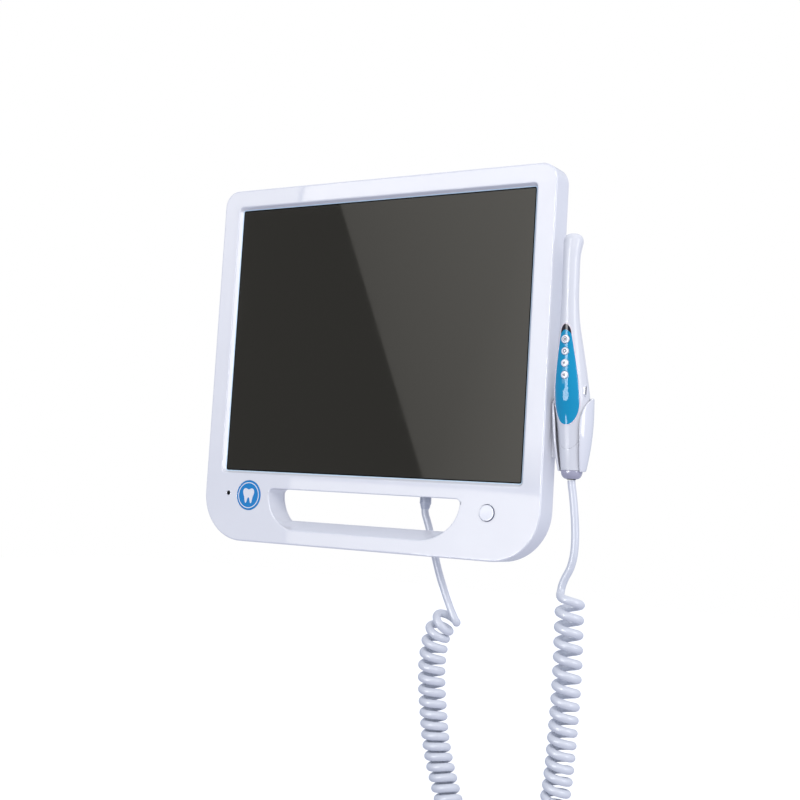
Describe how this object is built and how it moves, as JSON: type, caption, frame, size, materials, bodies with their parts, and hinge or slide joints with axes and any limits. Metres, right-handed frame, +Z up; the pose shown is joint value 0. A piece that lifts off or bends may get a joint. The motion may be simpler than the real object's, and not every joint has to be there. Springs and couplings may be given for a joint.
{
  "type": "intraoral camera",
  "caption": "Dental intraoral camera: white flat monitor with a carrying slot, a hand wand with buttons in a side cradle, and a curly cord.",
  "frame": {"origin": "centre of the four-hole mount pattern, on the monitor's rear face", "axes": "+X to the viewer's right, +Y out of the rear face (the screen faces -Y), +Z up as it hangs"},
  "size_m": [0.4201, 0.0632, 0.6562],
  "materials": {
    "shell_white": "gloss moulded",
    "screw_steel": "plated",
    "screen_glass": "semi-gloss, switched off",
    "diffuser_white": "matt film",
    "light_guide": "clear acrylic",
    "led_white": "gloss",
    "tray_steel": "zinc plated",
    "bush_brass": "turned",
    "board_green": "solder mask",
    "chip_black": "moulded",
    "sink_aluminium": "anodised",
    "socket_black": "moulded",
    "socket_steel": "nickel plated",
    "plug_grey": "satin moulded",
    "button_white": "gloss moulded",
    "window_black": "gloss",
    "badge_blue": "gloss print",
    "pad_grey": "soft",
    "panel_blue": "high gloss",
    "lens_glass": "coated",
    "flex_amber": "polyimide",
    "tail_grey": "gloss moulded",
    "boot_black": "soft",
    "cord_white": "soft moulded jacket"
  },
  "bodies": {
    "root": {"front_bezel": "shell_white", "rear_cover": "shell_white", "rear_cover_screws": "screw_steel", "lcd_glass": "screen_glass", "diffuser_sheets": "diffuser_white", "light_guide": "light_guide", "led_bar": "led_white", "lcd_tray": "tray_steel", "chassis_plate": "tray_steel", "chassis_screws": "screw_steel", "vesa_bushes": "bush_brass", "main_board": "board_green", "main_board_chips": "chip_black", "heat_sink": "sink_aluminium", "power_board": "board_green", "power_board_parts": "chip_black", "board_standoffs": "bush_brass", "board_screws": "screw_steel", "power_socket": "socket_black", "usb_socket": "socket_steel", "video_socket": "socket_steel", "camera_socket": "socket_steel", "camera_plug": "plug_grey", "plug_strain_relief": "plug_grey", "keypad_board": "board_green", "power_switch": "chip_black", "ir_board": "board_green", "ir_lens": "window_black", "badge": "badge_blue", "holder_bracket": "shell_white", "wand_holder": "shell_white", "holder_pad": "pad_grey", "holder_screws": "screw_steel", "cord_wand_lead": "cord_white", "cord_coil_wand_side": "cord_white", "cord_coil_bottom": "cord_white", "cord_coil_monitor_side": "cord_white", "cord_plug_lead": "cord_white"},
    "wand": {"wand_front_shell": "shell_white", "wand_rear_shell": "shell_white", "wand_screws": "screw_steel", "button_panel": "panel_blue", "panel_window": "window_black", "head_window": "lens_glass", "lens_barrel": "socket_black", "led_ring": "led_white", "sensor_board": "board_green", "sensor_flex": "flex_amber", "switch_board": "board_green", "dome_switches": "socket_steel", "processor_board": "board_green", "side_button_rim": "button_white", "tail_cap": "tail_grey", "cord_boot": "boot_black"},
    "capture_button": {"capture_button": "button_white"},
    "freeze_button": {"freeze_button": "button_white"},
    "next_button": {"next_button": "button_white"},
    "previous_button": {"previous_button": "button_white"},
    "side_button": {"side_button": "socket_black"},
    "power_button": {"power_button": "button_white"}
  },
  "joints": [
    {"name": "wand_lift", "type": "slide", "parent": "root", "child": "wand", "axis": [0, 0, 1], "range_m": [0, 0.12], "deforming": ["cord_wand_lead", "cord_coil_wand_side"]},
    {"name": "capture_press", "type": "slide", "parent": "wand", "child": "capture_button", "axis": [0, 1, 0], "range_m": [0, 0.0005], "stiffness_N_per_m": 4000},
    {"name": "freeze_press", "type": "slide", "parent": "wand", "child": "freeze_button", "axis": [0, 1, 0], "range_m": [0, 0.0005], "stiffness_N_per_m": 4000},
    {"name": "next_press", "type": "slide", "parent": "wand", "child": "next_button", "axis": [0, 1, 0], "range_m": [0, 0.0005], "stiffness_N_per_m": 4000},
    {"name": "previous_press", "type": "slide", "parent": "wand", "child": "previous_button", "axis": [0, 1, 0], "range_m": [0, 0.0005], "stiffness_N_per_m": 4000},
    {"name": "side_press", "type": "slide", "parent": "wand", "child": "side_button", "axis": [-1, 0, 0], "range_m": [0, 0.0005], "stiffness_N_per_m": 4000},
    {"name": "power_press", "type": "slide", "parent": "root", "child": "power_button", "axis": [0, 1, 0], "range_m": [0, 0.0012], "stiffness_N_per_m": 1500}
  ]
}
